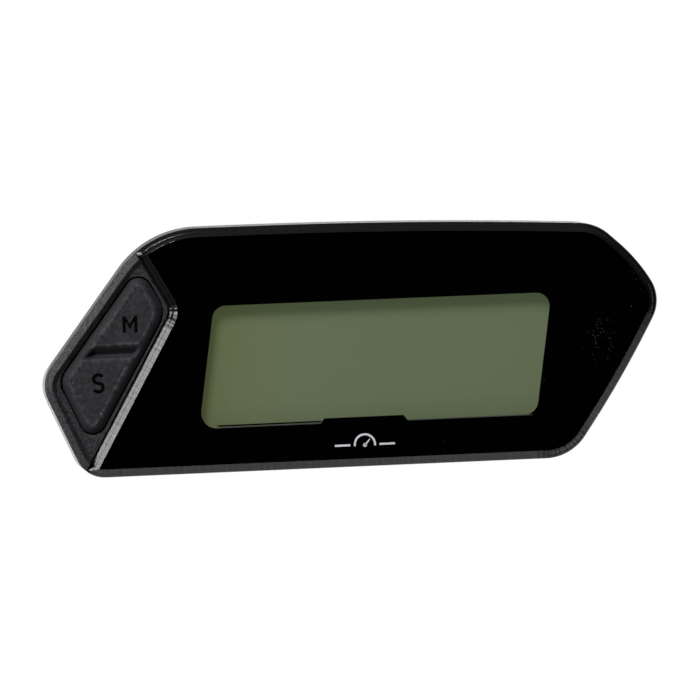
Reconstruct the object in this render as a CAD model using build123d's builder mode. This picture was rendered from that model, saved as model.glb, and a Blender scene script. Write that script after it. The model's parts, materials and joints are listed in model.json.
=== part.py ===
from build123d import *
import math
import os

# Instrument cluster for a light motorcycle.
# +Z up, +X to the rider's right, the display faces -Y.
# Origin: centre of the two rear mounting bosses, on their faces (y = 0). Millimetres.
# Names ending in _Y are levels along Y, _R radii. Front is negative Y.

# ---- levels shared by several pieces ----
FRONT_Y = -22.0        # lens front face
LENS_BACK_Y = -19.4
MASK_BACK_Y = -19.3
LEDGE_Y = -19.1        # ledge the lens tape sits on
KEY_DECK_BACK_Y = -18.6
DECK_BACK_Y = -17.4    # back of the deck behind the lens
PART_Y = -11.0         # parting plane between front housing and rear cover
BOARD_FRONT_Y = -10.6
BOARD_BACK_Y = -9.0
SCREW_SEAT_Y = -6.3    # under the heads of the case screws
CAVITY_BACK_Y = -5.2   # inside of the rear cover's back
COVER_BACK_Y = -3.2    # rear cover's flat back
MOUNT_Y = 0.0          # faces of the mounting bosses

# ---- outlines in the XZ plane, counter-clockwise: x, z, corner radius ----
OUTLINE = [
    (50.99, -27.4, 11.3), (63.68, -9.3, 246.9), (73.64, 8.92, 8.8),
    (67.87, 18.46, 39.2), (58.64, 26.93, 11.1), (14.5, 29.56, 1295.1),
    (-45.46, 29.44, 23.0), (-71.59, -4.74, 7.2), (-61.89, -27.17, 6.9),
]
KEYPAD = [(-47.67, 21.74, 3.35), (-67.58, -4.3, 4.7), (-60.14, -20.99, 3.2), (-41.72, 10.53, 6.3)]
WINDOW = [(-30.92, 11.29, 3.1), (-35.38, -17.01, 3.6), (43.30, -17.01, 3.3), (47.67, 11.29, 3.1)]

# Seam between lens and key panel: two straight runs meeting at a rounded corner
SEAM_TOP = (-60.13, 46.0)
SEAM_CORNER = (-40.59, 10.75)
SEAM_BOTTOM = (-70.3, -41.4)
SEAM_R = 4.0
RIGHT_LIMIT = 105.0    # beyond the outline on either side
LEFT_LIMIT = -110.0
LENS_SIDE = [
    (*SEAM_CORNER, SEAM_R), (*SEAM_BOTTOM, 0), (RIGHT_LIMIT, SEAM_BOTTOM[1], 0),
    (RIGHT_LIMIT, SEAM_TOP[1], 0), (*SEAM_TOP, 0),
]


def key_side(corner_r, shift=0.0):
    """Area left of the seam, with the seam moved by shift along X."""
    return [
        (SEAM_CORNER[0] + shift, SEAM_CORNER[1], corner_r), (SEAM_TOP[0] + shift, SEAM_TOP[1], 0),
        (LEFT_LIMIT, SEAM_TOP[1], 0), (LEFT_LIMIT, SEAM_BOTTOM[1], 0),
        (SEAM_BOTTOM[0] + shift, SEAM_BOTTOM[1], 0),
    ]


LEFT_PANEL = key_side(SEAM_R)
DISH_AREA = key_side(0, shift=6.0)

# ---- boxes in the XZ plane: low x, high x, low z, high z ----
FRONT_GLASS = (-37.6, 49.8, -20.1, 14.7)
REAR_GLASS = (-37.6, 49.8, -17.6, 12.2)
HOLDER = (-38.9, 51.1, -21.2, 15.9)
OPENING = (-36.2, 48.6, -18.7, 13.2)
LIGHT_GUIDE = (-37.5, 48.0, -17.5, 12.1)

# ---- places (x, z) and fits shared by several pieces ----
CASE_SCREWS = [(-42.3, 22.6), (5.0, 24.2), (54.6, 21.3), (63.4, 7.4), (22.0, -23.9), (-56.0, -22.1)]
BOARD_SCREWS = [(-34.0, 19.6), (46.0, 19.6), (57.2, -1.0), (-44.6, -20.6)]
MODE_KEY_AT = (-50.0, 8.9)
SET_KEY_AT = (-59.6, -5.6)
CONNECTOR_AT = (0.0, -14.2)
VENT_AT = (46.0, 8.0)
MOUNT_SPACING = 50.0

BEVEL = 2.05           # bevel round the whole front, width and depth
WALL = 2.2
BOSS_TRIM = WALL - 0.5  # bosses and ribs run into the wall up to this inset
PART_LINE = 0.22       # small break on both shells at the parting line
SEAL_OUTER = 0.7       # insets of the housing seal's two edges
SEAL_INNER = 1.5
SEAL_PLAY = 0.05
SEAL_DEPTH = 0.9
OPENING_R = 1.5
INSERT_R = 3.4
INSERT_LENGTH = 7.6
CONNECTOR_HOLE = (22.3, 11.8, 3.1)  # width, height, corner radius
VENT_SEAT_Y = COVER_BACK_Y - 0.9


# ================= helpers =================
def at(y):
    """Plane facing the viewer (-Y) at this y; sketch x is X, sketch y is Z."""
    return Plane.XZ.offset(-y)


def direction(start, end):
    """Unit vector from start to end."""
    length = math.hypot(end[0] - start[0], end[1] - start[1])
    return ((end[0] - start[0]) / length, (end[1] - start[1]) / length)


def along(point, heading, distance):
    return (point[0] + heading[0] * distance, point[1] + heading[1] * distance)


def draw_loop(table, inset):
    """Draw a closed counter-clockwise loop with rounded corners, moved inward by inset."""
    count = len(table)
    normals = []
    for i in range(count):
        run_x, run_z = direction(table[i][:2], table[(i + 1) % count][:2])
        normals.append((-run_z, run_x))
    corners = []
    for i in range(count):
        (last_x, last_z), (next_x, next_z) = normals[i - 1], normals[i]
        shift = inset / (1 + last_x * next_x + last_z * next_z)
        corners.append(along(table[i][:2], (last_x + next_x, last_z + next_z), shift))
    # each corner as arc start, middle and end; a sharp corner has no middle
    bends = []
    for i in range(count):
        corner = corners[i]
        back = direction(corner, corners[i - 1])
        ahead = direction(corner, corners[(i + 1) % count])
        convex = back[0] * ahead[1] - back[1] * ahead[0] < 0
        drawn_r = table[i][2]
        radius = drawn_r - inset if convex else drawn_r + inset
        if drawn_r <= 0 or radius <= 0.02:
            bends.append((corner, None, corner))
            continue
        cosine = back[0] * ahead[0] + back[1] * ahead[1]
        half_angle = math.acos(max(-1.0, min(1.0, cosine))) / 2
        tangent = radius / math.tan(half_angle)
        bisector = direction((0, 0), (back[0] + ahead[0], back[1] + ahead[1]))
        to_arc = radius / math.sin(half_angle) - radius
        bends.append((along(corner, back, tangent),
                      along(corner, bisector, to_arc),
                      along(corner, ahead, tangent)))
    for i in range(count):
        start, middle, end = bends[i]
        if middle is not None:
            ThreePointArc(start, middle, end)
        Line(end, bends[(i + 1) % count][0])


def face(table, inset=0.0, mode=Mode.ADD):
    """Rounded polygon face, combined with the sketch being built."""
    with BuildLine() as edge_loop:
        draw_loop(table, inset)
    make_face(edge_loop.edges(), mode=mode)


def centre(box):
    return ((box[0] + box[1]) / 2, (box[2] + box[3]) / 2)


def box_face(box, grow=0.0, radius=0.0, mode=Mode.ADD):
    """Rectangle over a box, grown on every side, with rounded corners if radius is given."""
    width = box[1] - box[0] + 2 * grow
    height = box[3] - box[2] + 2 * grow
    with Locations(centre(box)):
        if radius > 0:
            RectangleRounded(width, height, radius, mode=mode)
        else:
            Rectangle(width, height, mode=mode)


def write(piece, name):
    piece.part.label = name
    export_step(piece.part, f"parts/{name}.step")


os.makedirs("parts", exist_ok=True)

# ================= front housing =================
PANEL_Y = -20.65       # floor of the key panel
CREST_Y = -21.6        # crest between the outer bevel and the dish
DISH_INSET = 1.2       # inset of the dish's slope at its front end
DISH_RISE = 1.5        # width and depth of the slope
SEAM_GAP = 0.45
DECK_ROOT_Y = DECK_BACK_Y - 0.4  # bosses start inside the deck

# dished key panel with sloping sides, only at the key end
with BuildPart() as dish:
    with BuildSketch(at(PANEL_Y)):
        face(OUTLINE, DISH_INSET)
    extrude(amount=DISH_RISE + 0.2)
    chamfer(dish.faces().sort_by(Axis.Y)[-1].edges(), length=DISH_RISE)
    with BuildSketch(at(PANEL_Y + 1.0)):
        face(DISH_AREA)
    extrude(amount=5, mode=Mode.INTERSECT)

with BuildPart() as front_housing:
    with BuildSketch(at(PART_Y)):
        face(OUTLINE)
    extrude(amount=PART_Y - FRONT_Y)
    chamfer(front_housing.faces().sort_by(Axis.Y)[0].edges(), length=BEVEL)
    chamfer(front_housing.faces().sort_by(Axis.Y)[-1].edges(), length=PART_LINE)
    # level crest round the key panel, then the dish inside it
    with BuildSketch(at(CREST_Y)):
        face(DISH_AREA)
    extrude(amount=3, mode=Mode.SUBTRACT)
    add(dish.part, mode=Mode.SUBTRACT)
    # place for the lens, open at the top, right and bottom
    with BuildSketch(at(LEDGE_Y)):
        face(LENS_SIDE, -SEAM_GAP)
    extrude(amount=6, mode=Mode.SUBTRACT)
    # hollow inside, deeper behind the key panel
    with BuildSketch(at(PART_Y)):
        face(OUTLINE, WALL)
    extrude(amount=PART_Y - DECK_BACK_Y, mode=Mode.SUBTRACT)
    with BuildSketch(at(DECK_BACK_Y)):
        face(OUTLINE, WALL)
        face(LEFT_PANEL, -0.5, mode=Mode.INTERSECT)
    extrude(amount=DECK_BACK_Y - KEY_DECK_BACK_Y, mode=Mode.SUBTRACT)
    # window behind the lens
    with BuildSketch(at(DECK_BACK_Y)):
        box_face(OPENING, radius=OPENING_R)
    extrude(amount=3, mode=Mode.SUBTRACT)
    # opening for the keys
    with BuildSketch(at(KEY_DECK_BACK_Y)):
        face(KEYPAD)
    extrude(amount=4, mode=Mode.SUBTRACT)
    # groove for the housing seal
    with BuildSketch(at(PART_Y)):
        face(OUTLINE, SEAL_OUTER - SEAL_PLAY)
        face(OUTLINE, SEAL_INNER + SEAL_PLAY, mode=Mode.SUBTRACT)
    extrude(amount=SEAL_DEPTH, mode=Mode.SUBTRACT)
    # bosses for the case screws, reaching the parting plane
    with BuildSketch(at(PART_Y)):
        with Locations(*CASE_SCREWS):
            Circle(2.5)
        face(OUTLINE, BOSS_TRIM, mode=Mode.INTERSECT)
    extrude(amount=PART_Y - DECK_ROOT_Y)
    # bosses the main board stands on
    with BuildSketch(at(BOARD_FRONT_Y)):
        with Locations(*BOARD_SCREWS):
            Circle(2.2)
    extrude(amount=BOARD_FRONT_Y - DECK_ROOT_Y)
    # pilot holes
    for y, places, radius, depth in ((PART_Y, CASE_SCREWS, 1.25, 6.0),
                                     (BOARD_FRONT_Y, BOARD_SCREWS, 0.9, 5.6)):
        with BuildSketch(at(y)):
            with Locations(*places):
                Circle(radius)
        extrude(amount=depth, mode=Mode.SUBTRACT)
    # stiffening ribs behind the deck, above the LCD
    with BuildSketch(at(DECK_BACK_Y)):
        with Locations((-14.0, 21.8), (26.0, 21.8)):
            Rectangle(1.2, 9.8)
        face(OUTLINE, BOSS_TRIM, mode=Mode.INTERSECT)
    extrude(amount=-4.0)
write(front_housing, "front_housing")

# ================= lens, mask and tape =================
MASK_INSET = 0.25
MASK_TAB = [(-7.6, -17.4), (13.4, -17.4), (12.1, -15.8), (-6.3, -15.8)]  # x, z
TAPE_INSET = 0.7

with BuildPart() as cover_lens:
    with BuildSketch(at(LENS_BACK_Y)):
        face(OUTLINE)
        face(LENS_SIDE, mode=Mode.INTERSECT)
    extrude(amount=LENS_BACK_Y - FRONT_Y)
    chamfer(cover_lens.faces().sort_by(Axis.Y)[0].edges(), length=BEVEL)
write(cover_lens, "cover_lens")

with BuildPart() as lens_mask:
    with BuildSketch(at(MASK_BACK_Y)):
        face(OUTLINE, MASK_INSET)
        face(LENS_SIDE, MASK_INSET, mode=Mode.INTERSECT)
        face(WINDOW, mode=Mode.SUBTRACT)
        # tab standing up from the window's lower edge
        with BuildLine():
            Polyline(*MASK_TAB, close=True)
        make_face()
    extrude(amount=MASK_BACK_Y - LENS_BACK_Y)
write(lens_mask, "lens_mask")

with BuildPart() as lens_tape:
    with BuildSketch(at(LEDGE_Y)):
        face(OUTLINE, TAPE_INSET)
        face(LENS_SIDE, TAPE_INSET, mode=Mode.INTERSECT)
        box_face(OPENING, 1.2, radius=2.5, mode=Mode.SUBTRACT)
    extrude(amount=LEDGE_Y - MASK_BACK_Y)
write(lens_tape, "lens_tape")

# ================= keys and key switches =================
KEYPAD_LIP = 0.65      # mat and retainer reach this far past the key opening
KEY_GAP = 0.4
KEY_SPLIT_Z = 1.65     # middle of the valley between the two keys
KEY_SPLIT = 0.5
KEY_HALF = (60.0, 50.0)  # rectangle that cuts one key out of the pair
KEY_HALF_X = -55.0
KEY_TOP_Y = -21.35
KEY_CAP_BACK_Y = -19.2
KEY_STEM_R = 3.0
KEY_STEM_Y = -15.25
RETAINER_BACK_Y = -16.2
RETAINER_POSTS = [(-48.1, 16.9), (-65.3, -4.4), (-60.2, -15.4), (-44.3, 12.5)]
SWITCH_WIDTH = 6.2
SWITCH_TOP_Y = -14.0
KEY_TRAVEL = 0.5
PLUNGER_R = 1.7
PLUNGER_PLAY = 0.05
PLUNGER_TOP_Y = -15.2
PLUNGER_BORE_Y = -12.85
PLUNGER_BACK_Y = PLUNGER_BORE_Y - KEY_TRAVEL - PLUNGER_PLAY

with BuildPart() as keypad_mat:
    with BuildSketch(at(DECK_BACK_Y)):
        face(KEYPAD, -KEYPAD_LIP)
        face(LEFT_PANEL, -0.35, mode=Mode.INTERSECT)
        with Locations(MODE_KEY_AT, SET_KEY_AT):
            Circle(KEY_STEM_R + 0.2, mode=Mode.SUBTRACT)
    extrude(amount=DECK_BACK_Y - KEY_DECK_BACK_Y)
write(keypad_mat, "keypad_mat")

with BuildPart() as keypad_retainer:
    with BuildSketch(at(RETAINER_BACK_Y)):
        face(KEYPAD, -KEYPAD_LIP)
        face(KEYPAD, 2.3, mode=Mode.SUBTRACT)
    extrude(amount=RETAINER_BACK_Y - DECK_BACK_Y)
    # posts back to the board
    with BuildSketch(at(BOARD_FRONT_Y)):
        with Locations(*RETAINER_POSTS):
            Circle(1.1)
        face(KEYPAD, -KEYPAD_LIP, mode=Mode.INTERSECT)
    extrude(amount=BOARD_FRONT_Y - RETAINER_BACK_Y + 0.2)
write(keypad_retainer, "keypad_retainer")

# the last value is the side of the valley the key is on: +1 above, -1 below
for name, place, side in (("mode", MODE_KEY_AT, 1), ("set", SET_KEY_AT, -1)):
    with BuildPart() as key:
        with BuildSketch(at(KEY_CAP_BACK_Y)):
            face(KEYPAD, KEY_GAP)
            with Locations((KEY_HALF_X, KEY_SPLIT_Z + side * (KEY_SPLIT + KEY_HALF[1]) / 2)):
                Rectangle(*KEY_HALF, mode=Mode.INTERSECT)
        extrude(amount=KEY_CAP_BACK_Y - KEY_TOP_Y)
        chamfer(key.faces().sort_by(Axis.Y)[0].edges(), length=0.55)
        # stem, started inside the cap
        with BuildSketch(at(KEY_STEM_Y)):
            with Locations(place):
                Circle(KEY_STEM_R)
        extrude(amount=KEY_STEM_Y - KEY_CAP_BACK_Y + 0.3)
    write(key, f"{name}_key")

    with BuildPart() as switch_body:
        with BuildSketch(at(BOARD_FRONT_Y)):
            with Locations(place):
                RectangleRounded(SWITCH_WIDTH, SWITCH_WIDTH, 0.5)
        extrude(amount=BOARD_FRONT_Y - SWITCH_TOP_Y)
        chamfer(switch_body.faces().sort_by(Axis.Y)[0].edges(), length=0.3)
        with BuildSketch(at(PLUNGER_BORE_Y)):
            with Locations(place):
                Circle(PLUNGER_R + PLUNGER_PLAY)
        extrude(amount=PLUNGER_BORE_Y - SWITCH_TOP_Y + 0.5, mode=Mode.SUBTRACT)
        # four leads on the board
        with BuildSketch(at(BOARD_FRONT_Y)):
            with Locations(place):
                with GridLocations(8.0, 4.5, 2, 2):
                    Rectangle(2.0, 0.7)
        extrude(amount=0.3)
    write(switch_body, f"{name}_switch_body")

    with BuildPart() as plunger:
        with BuildSketch(at(PLUNGER_BACK_Y)):
            with Locations(place):
                Circle(PLUNGER_R)
        extrude(amount=PLUNGER_BACK_Y - PLUNGER_TOP_Y)
        chamfer(plunger.faces().sort_by(Axis.Y)[0].edges(), length=0.2)
    write(plunger, f"{name}_switch_plunger")

# ================= LCD stack =================
# back faces, stacked from the deck towards the board
GASKET = 0.8
GLASS = 0.9
FILM = 0.2
GUIDE = 3.2
GASKET_BACK_Y = DECK_BACK_Y + GASKET
FRONT_FILM_BACK_Y = GASKET_BACK_Y + FILM
FRONT_GLASS_BACK_Y = FRONT_FILM_BACK_Y + GLASS
REAR_GLASS_BACK_Y = FRONT_GLASS_BACK_Y + GLASS
REAR_FILM_BACK_Y = REAR_GLASS_BACK_Y + FILM
DIFFUSER_BACK_Y = REAR_FILM_BACK_Y + FILM
GUIDE_BACK_Y = DIFFUSER_BACK_Y + GUIDE
REFLECTOR_BACK_Y = GUIDE_BACK_Y + FILM

HOLDER_FRONT_Y = -16.5
GLASS_PLAY = 0.1
LED_Z = (-12.0, -2.7, 6.6)
LED_X = LIGHT_GUIDE[1] + 0.75
ZEBRA_X = centre(FRONT_GLASS)[0]
ZEBRA_STRIPS = {"top": 13.8, "bottom": -19.15}  # z of each strip
ZEBRA = (82.0, 1.7)
ZEBRA_SLOT = (82.3, 1.9)

with BuildPart() as lcd_gasket:
    with BuildSketch(at(GASKET_BACK_Y)):
        box_face(FRONT_GLASS)
        box_face(OPENING, radius=OPENING_R, mode=Mode.SUBTRACT)
    extrude(amount=GASKET)
write(lcd_gasket, "lcd_gasket")

# name, back face, box it lies over, growth of that box
for name, back_y, box, grow in (
    ("front_polariser", FRONT_FILM_BACK_Y, FRONT_GLASS, -0.5),
    ("rear_polariser", REAR_FILM_BACK_Y, REAR_GLASS, -0.4),
    ("diffuser_film", DIFFUSER_BACK_Y, LIGHT_GUIDE, -0.2),
    ("reflector_film", REFLECTOR_BACK_Y, LIGHT_GUIDE, -0.2),
):
    with BuildPart() as film:
        with BuildSketch(at(back_y)):
            box_face(box, grow, radius=0.5)
        extrude(amount=FILM)
    write(film, name)

# name, back face, box, corner cut
for name, back_y, box, corner_cut in (
    ("lcd_front_glass", FRONT_GLASS_BACK_Y, FRONT_GLASS, 0.6),
    ("lcd_rear_glass", REAR_GLASS_BACK_Y, REAR_GLASS, 0.4),
):
    with BuildPart() as glass:
        with BuildSketch(at(back_y)):
            box_face(box)
        extrude(amount=GLASS)
        chamfer(glass.edges().filter_by(Axis.Y), length=corner_cut)
    write(glass, name)

with BuildPart() as light_guide:
    with BuildSketch(at(GUIDE_BACK_Y)):
        box_face(LIGHT_GUIDE)
        # notches that fit round the LEDs
        with Locations(*[(LIGHT_GUIDE[1], z) for z in LED_Z]):
            Rectangle(1.0, 3.4, mode=Mode.SUBTRACT)
    extrude(amount=GUIDE)
write(light_guide, "light_guide")

with BuildPart() as backlight_leds:
    with BuildSketch(at(BOARD_FRONT_Y)):
        with Locations(*[(LED_X, z) for z in LED_Z]):
            Rectangle(1.2, 3.0)
    extrude(amount=3.0)
write(backlight_leds, "backlight_leds")

with BuildPart() as lcd_holder:
    with BuildSketch(at(BOARD_FRONT_Y)):
        box_face(HOLDER, radius=0.8)
        box_face(REAR_GLASS, GLASS_PLAY, mode=Mode.SUBTRACT)
        for z in ZEBRA_STRIPS.values():
            with Locations((ZEBRA_X, z)):
                Rectangle(*ZEBRA_SLOT, mode=Mode.SUBTRACT)
    extrude(amount=BOARD_FRONT_Y - HOLDER_FRONT_Y)
    # rebate for the front glass
    with BuildSketch(at(FRONT_GLASS_BACK_Y)):
        box_face(FRONT_GLASS, GLASS_PLAY)
    extrude(amount=2.0, mode=Mode.SUBTRACT)
write(lcd_holder, "lcd_holder")

for name, z in ZEBRA_STRIPS.items():
    with BuildPart() as zebra_strip:
        with BuildSketch(at(BOARD_FRONT_Y)):
            with Locations((ZEBRA_X, z)):
                RectangleRounded(*ZEBRA, 0.3)
        extrude(amount=BOARD_FRONT_Y - FRONT_GLASS_BACK_Y)
    write(zebra_strip, f"zebra_strip_{name}")


# ================= screws =================
def write_screws(name, places, seat_y, shank, head, socket, head_fillet=0.0):
    """Screws entered from the back; shank, head and hex socket are (radius, length)."""
    with BuildPart() as screws:
        with BuildSketch(at(seat_y)):
            with Locations(*places):
                Circle(shank[0])
        extrude(amount=shank[1])
        with BuildSketch(at(seat_y)):
            with Locations(*places):
                Circle(head[0])
        extrude(amount=-head[1])
        if head_fillet > 0:
            fillet(screws.edges().group_by(Axis.Y)[-1], radius=head_fillet)
        with BuildSketch(at(seat_y + head[1])):
            with Locations(*places):
                RegularPolygon(socket[0], 6)
        extrude(amount=socket[1], mode=Mode.SUBTRACT)
    write(screws, name)


write_screws("board_screws", BOARD_SCREWS, BOARD_BACK_Y,
             shank=(0.88, 6.4), head=(1.9, 1.1), socket=(0.85, 0.7))
write_screws("case_screws", CASE_SCREWS, SCREW_SEAT_Y,
             shank=(1.23, 10.0), head=(2.2, 1.7), socket=(1.15, 1.0), head_fillet=0.5)

# ================= main board and the parts on its back =================
CHIP_BODY_Y = BOARD_BACK_Y + 0.15  # chip bodies stand off the board
MICROCONTROLLER_AT = (4.0, 8.4)
TRANSCEIVER_AT = (-21.0, -13.0)
REGULATOR_AT = (24.0, -13.5)
INDUCTOR_AT = (36.0, -12.6)
CAPACITORS = [(-36.0, -12.0), (-36.0, -5.0), (-36.0, 9.0)]
CRYSTAL_AT = (-8.5, 10.5)

with BuildPart() as main_board:
    with BuildSketch(at(BOARD_BACK_Y)):
        face(OUTLINE, 3.6)
        with Locations(*CASE_SCREWS):
            Circle(3.0, mode=Mode.SUBTRACT)
        with Locations(*BOARD_SCREWS):
            Circle(1.1, mode=Mode.SUBTRACT)
    extrude(amount=BOARD_BACK_Y - BOARD_FRONT_Y)
write(main_board, "main_board")

with BuildPart() as microcontroller:
    with BuildSketch(at(CHIP_BODY_Y)):
        with Locations(MICROCONTROLLER_AT):
            Rectangle(10.0, 10.0)
    extrude(amount=-1.35)
    chamfer(microcontroller.edges().filter_by(Axis.Y), length=0.4)
    # twelve leads on each side
    with BuildSketch(at(BOARD_BACK_Y)):
        with Locations(MICROCONTROLLER_AT):
            with GridLocations(0.8, 10.9, 12, 2):
                Rectangle(0.35, 1.3)
            with GridLocations(10.9, 0.8, 2, 12):
                Rectangle(1.3, 0.35)
    extrude(amount=-0.4)
write(microcontroller, "microcontroller")

with BuildPart() as bus_transceiver:
    with BuildSketch(at(CHIP_BODY_Y)):
        with Locations(TRANSCEIVER_AT):
            Rectangle(4.9, 3.9)
    extrude(amount=-1.4)
    with BuildSketch(at(BOARD_BACK_Y)):
        with Locations(TRANSCEIVER_AT):
            with GridLocations(1.27, 4.9, 4, 2):
                Rectangle(0.42, 1.2)
    extrude(amount=-0.4)
write(bus_transceiver, "bus_transceiver")

with BuildPart() as voltage_regulator:
    with BuildSketch(at(BOARD_BACK_Y)):
        with Locations(REGULATOR_AT):
            Rectangle(6.5, 6.0)
    extrude(amount=-2.2)
    chamfer(voltage_regulator.faces().sort_by(Axis.Y)[-1].edges(), length=0.3)
    # three leads below, one wide tab above
    with BuildSketch(at(BOARD_BACK_Y)):
        with Locations((REGULATOR_AT[0], REGULATOR_AT[1] - 4.1)):
            with GridLocations(2.3, 1.0, 3, 1):
                Rectangle(0.8, 2.6)
        with Locations((REGULATOR_AT[0], REGULATOR_AT[1] + 3.6)):
            Rectangle(5.2, 1.6)
    extrude(amount=-0.5)
write(voltage_regulator, "voltage_regulator")

with BuildPart() as power_inductor:
    with BuildSketch(at(BOARD_BACK_Y)):
        with Locations(INDUCTOR_AT):
            RectangleRounded(7.0, 7.0, 1.4)
    extrude(amount=-3.0)
    chamfer(power_inductor.faces().sort_by(Axis.Y)[-1].edges(), length=0.4)
write(power_inductor, "power_inductor")

with BuildPart() as bulk_capacitors:
    with BuildSketch(at(BOARD_BACK_Y)):
        with Locations(*CAPACITORS):
            Rectangle(7.3, 4.3)
    extrude(amount=-2.8)
    chamfer(bulk_capacitors.edges().group_by(Axis.Y)[-1], length=0.3)
write(bulk_capacitors, "bulk_capacitors")

with BuildPart() as crystal:
    with BuildSketch(at(BOARD_BACK_Y)):
        with Locations(CRYSTAL_AT):
            RectangleRounded(5.0, 3.2, 0.6)
    extrude(amount=-1.2)
write(crystal, "crystal")

# ================= rear cover and its seal =================
COVER_EDGE_Y = -8.6    # end of the cover's straight side
COVER_INSET = 5.0      # how far the cover's back is drawn in
CAVITY_EDGE_Y = -8.9
OUTER_ROOT_Y = COVER_BACK_Y - 0.2   # outer features start inside the back
INNER_ROOT_Y = CAVITY_BACK_Y + 0.3  # inner features start inside the back
BOSS_R = 5.2
BOSS_INNER_Y = -8.4

with BuildPart() as rear_cover:
    with BuildSketch(at(PART_Y)):
        face(OUTLINE)
    extrude(amount=PART_Y - COVER_EDGE_Y)
    chamfer(rear_cover.faces().sort_by(Axis.Y)[0].edges(), length=PART_LINE)
    with BuildSketch(at(COVER_EDGE_Y)):
        face(OUTLINE)
    with BuildSketch(at(COVER_BACK_Y)):
        face(OUTLINE, COVER_INSET)
    loft(ruled=True)
    fillet(rear_cover.faces().sort_by(Axis.Y)[-1].edges(), radius=1.2)
    # raised plinths round the mounts and the connector, then the mounting bosses
    with BuildSketch(at(OUTER_ROOT_Y)):
        RectangleRounded(MOUNT_SPACING + 20.0, 12.4, 6.1)
        with Locations(CONNECTOR_AT):
            RectangleRounded(25.6, 15.0, 4.6)
    extrude(amount=-1.2)
    with BuildSketch(at(OUTER_ROOT_Y)):
        with GridLocations(MOUNT_SPACING, 0, 2, 1):
            Circle(BOSS_R)
    extrude(amount=OUTER_ROOT_Y - MOUNT_Y)
    # hollow inside
    with BuildSketch(at(PART_Y)):
        face(OUTLINE, WALL)
    extrude(amount=PART_Y - CAVITY_EDGE_Y, mode=Mode.SUBTRACT)
    with BuildSketch(at(CAVITY_EDGE_Y)):
        face(OUTLINE, WALL)
    with BuildSketch(at(CAVITY_BACK_Y)):
        face(OUTLINE, COVER_INSET + 1.3)
    loft(ruled=True, mode=Mode.SUBTRACT)
    # posts for the case screws and inner ends of the mounting bosses
    with BuildSketch(at(PART_Y)):
        with Locations(*CASE_SCREWS):
            Circle(2.7)
        face(OUTLINE, BOSS_TRIM, mode=Mode.INTERSECT)
    extrude(amount=PART_Y - INNER_ROOT_Y)
    with BuildSketch(at(INNER_ROOT_Y)):
        with GridLocations(MOUNT_SPACING, 0, 2, 1):
            Circle(BOSS_R)
    extrude(amount=INNER_ROOT_Y - BOSS_INNER_Y)
    # bores for the inserts
    with BuildSketch(at(MOUNT_Y)):
        with GridLocations(MOUNT_SPACING, 0, 2, 1):
            Circle(INSERT_R)
    extrude(amount=INSERT_LENGTH, mode=Mode.SUBTRACT)
    # through holes: screws, vent, connector
    with BuildSketch(at(MOUNT_Y)):
        with Locations(*CASE_SCREWS):
            Circle(1.4)
        with Locations(VENT_AT):
            Circle(2.6)
        with Locations(CONNECTOR_AT):
            RectangleRounded(*CONNECTOR_HOLE)
    extrude(amount=MOUNT_Y - PART_Y, mode=Mode.SUBTRACT)
    # counterbores for the screw heads and the vent plug
    for places, radius, floor_y in ((CASE_SCREWS, 2.5, SCREW_SEAT_Y),
                                    ([VENT_AT], 5.3, VENT_SEAT_Y)):
        with BuildSketch(at(MOUNT_Y)):
            with Locations(*places):
                Circle(radius)
        extrude(amount=MOUNT_Y - floor_y, mode=Mode.SUBTRACT)
    # shallow place for a rating plate, left blank
    with BuildSketch(at(COVER_BACK_Y)):
        with Locations((-6.0, 14.6)):
            RectangleRounded(46.0, 10.0, 1.5)
    extrude(amount=0.4, mode=Mode.SUBTRACT)
write(rear_cover, "rear_cover")

with BuildPart() as housing_seal:
    with BuildSketch(at(PART_Y)):
        face(OUTLINE, SEAL_OUTER)
        face(OUTLINE, SEAL_INNER, mode=Mode.SUBTRACT)
    extrude(amount=SEAL_DEPTH)
write(housing_seal, "housing_seal")

# ================= threaded inserts =================
MOUNT_BORE_R = 2.1     # M5 thread minor radius

with BuildPart() as threaded_inserts:
    with BuildSketch(at(MOUNT_Y)):
        with GridLocations(MOUNT_SPACING, 0, 2, 1):
            Circle(INSERT_R)
            Circle(MOUNT_BORE_R, mode=Mode.SUBTRACT)
    extrude(amount=INSERT_LENGTH)
    chamfer(threaded_inserts.edges().group_by(Axis.Y)[-1].filter_by(
        lambda edge: edge.radius < MOUNT_BORE_R + 0.1), length=0.4)
    # groove round the outside
    with BuildSketch(at(-3.2)):
        with GridLocations(MOUNT_SPACING, 0, 2, 1):
            Circle(INSERT_R)
            Circle(INSERT_R - 0.35, mode=Mode.SUBTRACT)
    extrude(amount=1.2, mode=Mode.SUBTRACT)
write(threaded_inserts, "threaded_inserts")

# ================= connector =================
FLANGE_FRONT_Y = -7.2
FLANGE_BACK_Y = -5.7
CONNECTOR_END_Y = 7.0
RECESS_FLOOR_Y = -4.2
# width, height, corner radius
FLANGE = (25.0, 13.6, 3.4)
SHELL = (22.0, 11.5, 3.0)
RECESS = (18.8, 8.3, 1.6)
FLANGE_SEAL = (24.8, 13.4, 3.3)
LATCH_WIDTH = 4.4
LATCH_ROOT_Z = CONNECTOR_AT[1] + 5.7
LATCH_TOP_Z = CONNECTOR_AT[1] + 7.1
LATCH = [(1.6, LATCH_ROOT_Z), (3.2, LATCH_TOP_Z), (3.9, LATCH_TOP_Z), (5.6, LATCH_ROOT_Z)]  # y, z
PIN = 0.9              # pin width
PIN_PITCH = 4.0
PIN_ROWS = 3.4         # spacing of the two rows
PIN_FOOT = 1.8         # how far the feet reach outward on the board
PIN_END_Y = 3.8

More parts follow.
